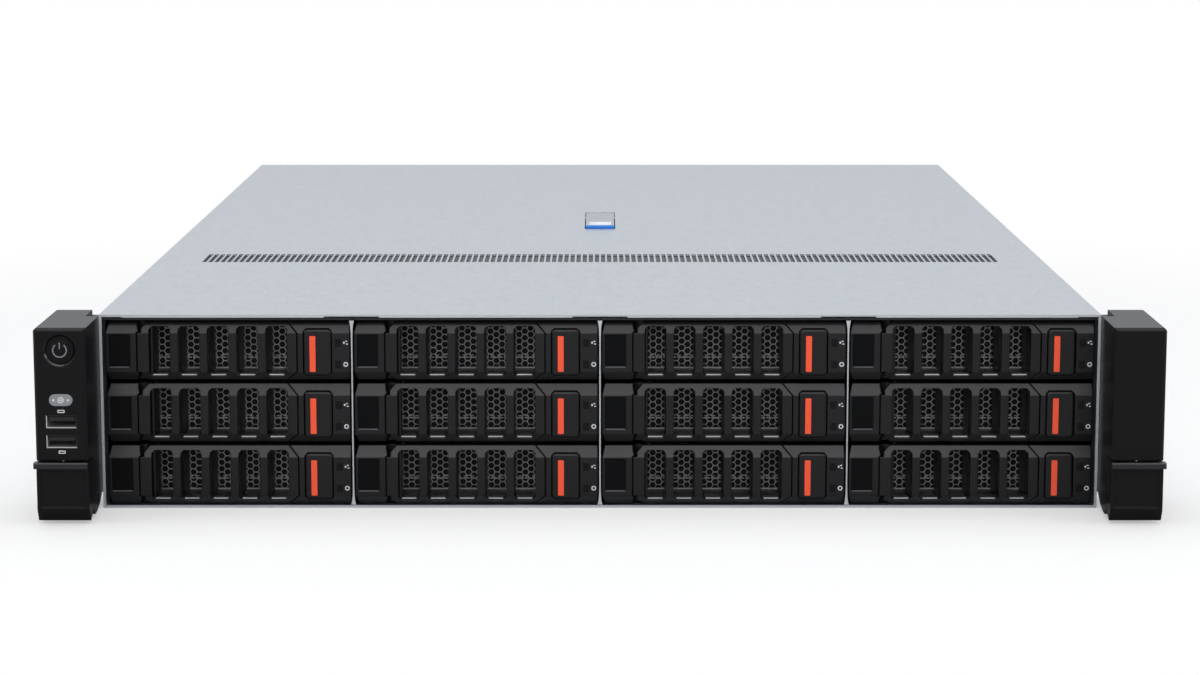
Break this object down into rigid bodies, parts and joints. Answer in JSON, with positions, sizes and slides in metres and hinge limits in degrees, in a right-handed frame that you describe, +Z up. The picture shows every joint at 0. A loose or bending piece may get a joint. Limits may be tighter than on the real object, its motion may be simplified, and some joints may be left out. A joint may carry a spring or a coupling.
{
  "type": "2u rack server",
  "caption": "Two-unit rack server with front drive carriers under swinging grille handles, rack ears with levers over captive screws, lift-off cover and rear power supplies.",
  "frame": {"origin": "on the underside, at the centre of the outer box", "axes": "+X to the right seen from the front, +Y from the front to the rear, +Z up"},
  "size_m": [0.4836, 0.7096, 0.0878],
  "materials": {
    "zinc_steel": "zinc-coated steel sheet with a fine satin spangle",
    "circuit_board": "green solder mask over glass fibre",
    "carrier_plastic": "black moulded plastic with fine texture",
    "handle_plastic": "black moulded plastic with fine texture",
    "button_plastic": "black plastic with an orange-red stripe",
    "ear_plastic": "black moulded plastic, matt",
    "plated_screw": "nickel-plated steel",
    "button_black": "black plastic, satin",
    "button_clear": "milky light-guide plastic",
    "latch_steel": "zinc-coated steel with a blue touch point",
    "fan_plastic": "black glass-filled plastic",
    "heatsink_aluminium": "plain aluminium fins",
    "memory_module": "green circuit board with black chips",
    "psu_case": "plated sheet-metal case"
  },
  "bodies": {
    "chassis": {"chassis_base": "zinc_steel", "drive_cage": "zinc_steel", "drive_backplane": "circuit_board", "left_ear_housing": "ear_plastic", "right_ear_housing": "ear_plastic", "ear_control_board": "circuit_board", "fan_modules": "fan_plastic", "motherboard": "circuit_board", "cpu_heatsinks": "heatsink_aluminium", "memory_modules": "memory_module"},
    "drive_carrier_1": {"drive_carrier_1": "carrier_plastic"},
    "carrier_handle_1": {"carrier_handle_1": "handle_plastic"},
    "release_button_1": {"release_button_1": "button_plastic"},
    "drive_carrier_2": {"drive_carrier_2": "carrier_plastic"},
    "carrier_handle_2": {"carrier_handle_2": "handle_plastic"},
    "release_button_2": {"release_button_2": "button_plastic"},
    "drive_carrier_3": {"drive_carrier_3": "carrier_plastic"},
    "carrier_handle_3": {"carrier_handle_3": "handle_plastic"},
    "release_button_3": {"release_button_3": "button_plastic"},
    "drive_carrier_4": {"drive_carrier_4": "carrier_plastic"},
    "carrier_handle_4": {"carrier_handle_4": "handle_plastic"},
    "release_button_4": {"release_button_4": "button_plastic"},
    "drive_carrier_5": {"drive_carrier_5": "carrier_plastic"},
    "carrier_handle_5": {"carrier_handle_5": "handle_plastic"},
    "release_button_5": {"release_button_5": "button_plastic"},
    "drive_carrier_6": {"drive_carrier_6": "carrier_plastic"},
    "carrier_handle_6": {"carrier_handle_6": "handle_plastic"},
    "release_button_6": {"release_button_6": "button_plastic"},
    "drive_carrier_7": {"drive_carrier_7": "carrier_plastic"},
    "carrier_handle_7": {"carrier_handle_7": "handle_plastic"},
    "release_button_7": {"release_button_7": "button_plastic"},
    "drive_carrier_8": {"drive_carrier_8": "carrier_plastic"},
    "carrier_handle_8": {"carrier_handle_8": "handle_plastic"},
    "release_button_8": {"release_button_8": "button_plastic"},
    "drive_carrier_9": {"drive_carrier_9": "carrier_plastic"},
    "carrier_handle_9": {"carrier_handle_9": "handle_plastic"},
    "release_button_9": {"release_button_9": "button_plastic"},
    "drive_carrier_10": {"drive_carrier_10": "carrier_plastic"},
    "carrier_handle_10": {"carrier_handle_10": "handle_plastic"},
    "release_button_10": {"release_button_10": "button_plastic"},
    "drive_carrier_11": {"drive_carrier_11": "carrier_plastic"},
    "carrier_handle_11": {"carrier_handle_11": "handle_plastic"},
    "release_button_11": {"release_button_11": "button_plastic"},
    "drive_carrier_12": {"drive_carrier_12": "carrier_plastic"},
    "carrier_handle_12": {"carrier_handle_12": "handle_plastic"},
    "release_button_12": {"release_button_12": "button_plastic"},
    "top_cover": {"top_cover": "zinc_steel"},
    "cover_latch": {"cover_latch": "latch_steel"},
    "left_ear_lever": {"left_ear_lever": "ear_plastic"},
    "right_ear_lever": {"right_ear_lever": "ear_plastic"},
    "left_rack_screw": {"left_rack_screw": "plated_screw"},
    "right_rack_screw": {"right_rack_screw": "plated_screw"},
    "power_button": {"power_button": "button_black"},
    "id_button": {"id_button": "button_clear"},
    "psu_1": {"psu_1": "psu_case"},
    "psu_2": {"psu_2": "psu_case"},
    "fan_rotor_1": {"fan_rotor_1": "fan_plastic"},
    "fan_rotor_2": {"fan_rotor_2": "fan_plastic"},
    "fan_rotor_3": {"fan_rotor_3": "fan_plastic"},
    "fan_rotor_4": {"fan_rotor_4": "fan_plastic"}
  },
  "joints": [
    {"name": "carrier_1_slide", "type": "slide", "parent": "chassis", "child": "drive_carrier_1", "axis": [0, -1, 0], "range_m": [0, 0.19]},
    {"name": "handle_1_swing", "type": "hinge", "parent": "drive_carrier_1", "child": "carrier_handle_1", "pos_m": [-0.1995, -0.31425, 0.0698], "axis": [0, 0, -1], "range_deg": [0, 60]},
    {"name": "button_1_push", "type": "slide", "parent": "drive_carrier_1", "child": "release_button_1", "axis": [0, 1, 0], "range_m": [0, 0.002], "stiffness_N_per_m": 400},
    {"name": "carrier_2_slide", "type": "slide", "parent": "chassis", "child": "drive_carrier_2", "axis": [0, -1, 0], "range_m": [0, 0.19]},
    {"name": "handle_2_swing", "type": "hinge", "parent": "drive_carrier_2", "child": "carrier_handle_2", "pos_m": [-0.09115, -0.31425, 0.0698], "axis": [0, 0, -1], "range_deg": [0, 60]},
    {"name": "button_2_push", "type": "slide", "parent": "drive_carrier_2", "child": "release_button_2", "axis": [0, 1, 0], "range_m": [0, 0.002], "stiffness_N_per_m": 400},
    {"name": "carrier_3_slide", "type": "slide", "parent": "chassis", "child": "drive_carrier_3", "axis": [0, -1, 0], "range_m": [0, 0.19]},
    {"name": "handle_3_swing", "type": "hinge", "parent": "drive_carrier_3", "child": "carrier_handle_3", "pos_m": [0.0172, -0.31425, 0.0698], "axis": [0, 0, -1], "range_deg": [0, 60]},
    {"name": "button_3_push", "type": "slide", "parent": "drive_carrier_3", "child": "release_button_3", "axis": [0, 1, 0], "range_m": [0, 0.002], "stiffness_N_per_m": 400},
    {"name": "carrier_4_slide", "type": "slide", "parent": "chassis", "child": "drive_carrier_4", "axis": [0, -1, 0], "range_m": [0, 0.19]},
    {"name": "handle_4_swing", "type": "hinge", "parent": "drive_carrier_4", "child": "carrier_handle_4", "pos_m": [0.12555, -0.31425, 0.0698], "axis": [0, 0, -1], "range_deg": [0, 60]},
    {"name": "button_4_push", "type": "slide", "parent": "drive_carrier_4", "child": "release_button_4", "axis": [0, 1, 0], "range_m": [0, 0.002], "stiffness_N_per_m": 400},
    {"name": "carrier_5_slide", "type": "slide", "parent": "chassis", "child": "drive_carrier_5", "axis": [0, -1, 0], "range_m": [0, 0.19]},
    {"name": "handle_5_swing", "type": "hinge", "parent": "drive_carrier_5", "child": "carrier_handle_5", "pos_m": [-0.1995, -0.31425, 0.0422], "axis": [0, 0, -1], "range_deg": [0, 60]},
    {"name": "button_5_push", "type": "slide", "parent": "drive_carrier_5", "child": "release_button_5", "axis": [0, 1, 0], "range_m": [0, 0.002], "stiffness_N_per_m": 400},
    {"name": "carrier_6_slide", "type": "slide", "parent": "chassis", "child": "drive_carrier_6", "axis": [0, -1, 0], "range_m": [0, 0.19]},
    {"name": "handle_6_swing", "type": "hinge", "parent": "drive_carrier_6", "child": "carrier_handle_6", "pos_m": [-0.09115, -0.31425, 0.0422], "axis": [0, 0, -1], "range_deg": [0, 60]},
    {"name": "button_6_push", "type": "slide", "parent": "drive_carrier_6", "child": "release_button_6", "axis": [0, 1, 0], "range_m": [0, 0.002], "stiffness_N_per_m": 400},
    {"name": "carrier_7_slide", "type": "slide", "parent": "chassis", "child": "drive_carrier_7", "axis": [0, -1, 0], "range_m": [0, 0.19]},
    {"name": "handle_7_swing", "type": "hinge", "parent": "drive_carrier_7", "child": "carrier_handle_7", "pos_m": [0.0172, -0.31425, 0.0422], "axis": [0, 0, -1], "range_deg": [0, 60]},
    {"name": "button_7_push", "type": "slide", "parent": "drive_carrier_7", "child": "release_button_7", "axis": [0, 1, 0], "range_m": [0, 0.002], "stiffness_N_per_m": 400},
    {"name": "carrier_8_slide", "type": "slide", "parent": "chassis", "child": "drive_carrier_8", "axis": [0, -1, 0], "range_m": [0, 0.19]},
    {"name": "handle_8_swing", "type": "hinge", "parent": "drive_carrier_8", "child": "carrier_handle_8", "pos_m": [0.12555, -0.31425, 0.0422], "axis": [0, 0, -1], "range_deg": [0, 60]},
    {"name": "button_8_push", "type": "slide", "parent": "drive_carrier_8", "child": "release_button_8", "axis": [0, 1, 0], "range_m": [0, 0.002], "stiffness_N_per_m": 400},
    {"name": "carrier_9_slide", "type": "slide", "parent": "chassis", "child": "drive_carrier_9", "axis": [0, -1, 0], "range_m": [0, 0.19]},
    {"name": "handle_9_swing", "type": "hinge", "parent": "drive_carrier_9", "child": "carrier_handle_9", "pos_m": [-0.1995, -0.31425, 0.0146], "axis": [0, 0, -1], "range_deg": [0, 60]},
    {"name": "button_9_push", "type": "slide", "parent": "drive_carrier_9", "child": "release_button_9", "axis": [0, 1, 0], "range_m": [0, 0.002], "stiffness_N_per_m": 400},
    {"name": "carrier_10_slide", "type": "slide", "parent": "chassis", "child": "drive_carrier_10", "axis": [0, -1, 0], "range_m": [0, 0.19]},
    {"name": "handle_10_swing", "type": "hinge", "parent": "drive_carrier_10", "child": "carrier_handle_10", "pos_m": [-0.09115, -0.31425, 0.0146], "axis": [0, 0, -1], "range_deg": [0, 60]},
    {"name": "button_10_push", "type": "slide", "parent": "drive_carrier_10", "child": "release_button_10", "axis": [0, 1, 0], "range_m": [0, 0.002], "stiffness_N_per_m": 400},
    {"name": "carrier_11_slide", "type": "slide", "parent": "chassis", "child": "drive_carrier_11", "axis": [0, -1, 0], "range_m": [0, 0.19]},
    {"name": "handle_11_swing", "type": "hinge", "parent": "drive_carrier_11", "child": "carrier_handle_11", "pos_m": [0.0172, -0.31425, 0.0146], "axis": [0, 0, -1], "range_deg": [0, 60]},
    {"name": "button_11_push", "type": "slide", "parent": "drive_carrier_11", "child": "release_button_11", "axis": [0, 1, 0], "range_m": [0, 0.002], "stiffness_N_per_m": 400},
    {"name": "carrier_12_slide", "type": "slide", "parent": "chassis", "child": "drive_carrier_12", "axis": [0, -1, 0], "range_m": [0, 0.19]},
    {"name": "handle_12_swing", "type": "hinge", "parent": "drive_carrier_12", "child": "carrier_handle_12", "pos_m": [0.12555, -0.31425, 0.0146], "axis": [0, 0, -1], "range_deg": [0, 60]},
    {"name": "button_12_push", "type": "slide", "parent": "drive_carrier_12", "child": "release_button_12", "axis": [0, 1, 0], "range_m": [0, 0.002], "stiffness_N_per_m": 400},
    {"name": "cover_lift", "type": "slide", "parent": "chassis", "child": "top_cover", "axis": [0, 0, 1], "range_m": [0, 0.1]},
    {"name": "latch_flip", "type": "hinge", "parent": "top_cover", "child": "cover_latch", "pos_m": [0, 0.06415, 0.0826], "axis": [-1, 0, 0], "range_deg": [0, 75]},
    {"name": "left_lever_flip", "type": "hinge", "parent": "chassis", "child": "left_ear_lever", "pos_m": [-0.22975, -0.34575, 0.0065], "axis": [1, 0, 0], "range_deg": [0, 75]},
    {"name": "right_lever_flip", "type": "hinge", "parent": "chassis", "child": "right_ear_lever", "pos_m": [0.22975, -0.34575, 0.0065], "axis": [1, 0, 0], "range_deg": [0, 75]},
    {"name": "left_screw_turn", "type": "hinge", "parent": "chassis", "child": "left_rack_screw", "pos_m": [-0.23255, -0.29725, 0.0208], "axis": [0, 1, 0], "continuous": true},
    {"name": "right_screw_turn", "type": "hinge", "parent": "chassis", "child": "right_rack_screw", "pos_m": [0.23255, -0.29725, 0.0208], "axis": [0, 1, 0], "continuous": true},
    {"name": "power_push", "type": "slide", "parent": "chassis", "child": "power_button", "axis": [0, 1, 0], "range_m": [0, 0.0015], "stiffness_N_per_m": 400},
    {"name": "locator_push", "type": "slide", "parent": "chassis", "child": "id_button", "axis": [0, 1, 0], "range_m": [0, 0.001], "stiffness_N_per_m": 400},
    {"name": "rotor_1_spin", "type": "hinge", "parent": "chassis", "child": "fan_rotor_1", "pos_m": [-0.16298, -0.08725, 0.0413], "axis": [0, 1, 0], "continuous": true},
    {"name": "rotor_2_spin", "type": "hinge", "parent": "chassis", "child": "fan_rotor_2", "pos_m": [-0.05432, -0.08725, 0.0413], "axis": [0, 1, 0], "continuous": true},
    {"name": "rotor_3_spin", "type": "hinge", "parent": "chassis", "child": "fan_rotor_3", "pos_m": [0.05432, -0.08725, 0.0413], "axis": [0, 1, 0], "continuous": true},
    {"name": "rotor_4_spin", "type": "hinge", "parent": "chassis", "child": "fan_rotor_4", "pos_m": [0.16298, -0.08725, 0.0413], "axis": [0, 1, 0], "continuous": true},
    {"name": "psu_1_slide", "type": "slide", "parent": "chassis", "child": "psu_1", "axis": [0, 1, 0], "range_m": [0, 0.19]},
    {"name": "psu_2_slide", "type": "slide", "parent": "chassis", "child": "psu_2", "axis": [0, 1, 0], "range_m": [0, 0.19]}
  ]
}
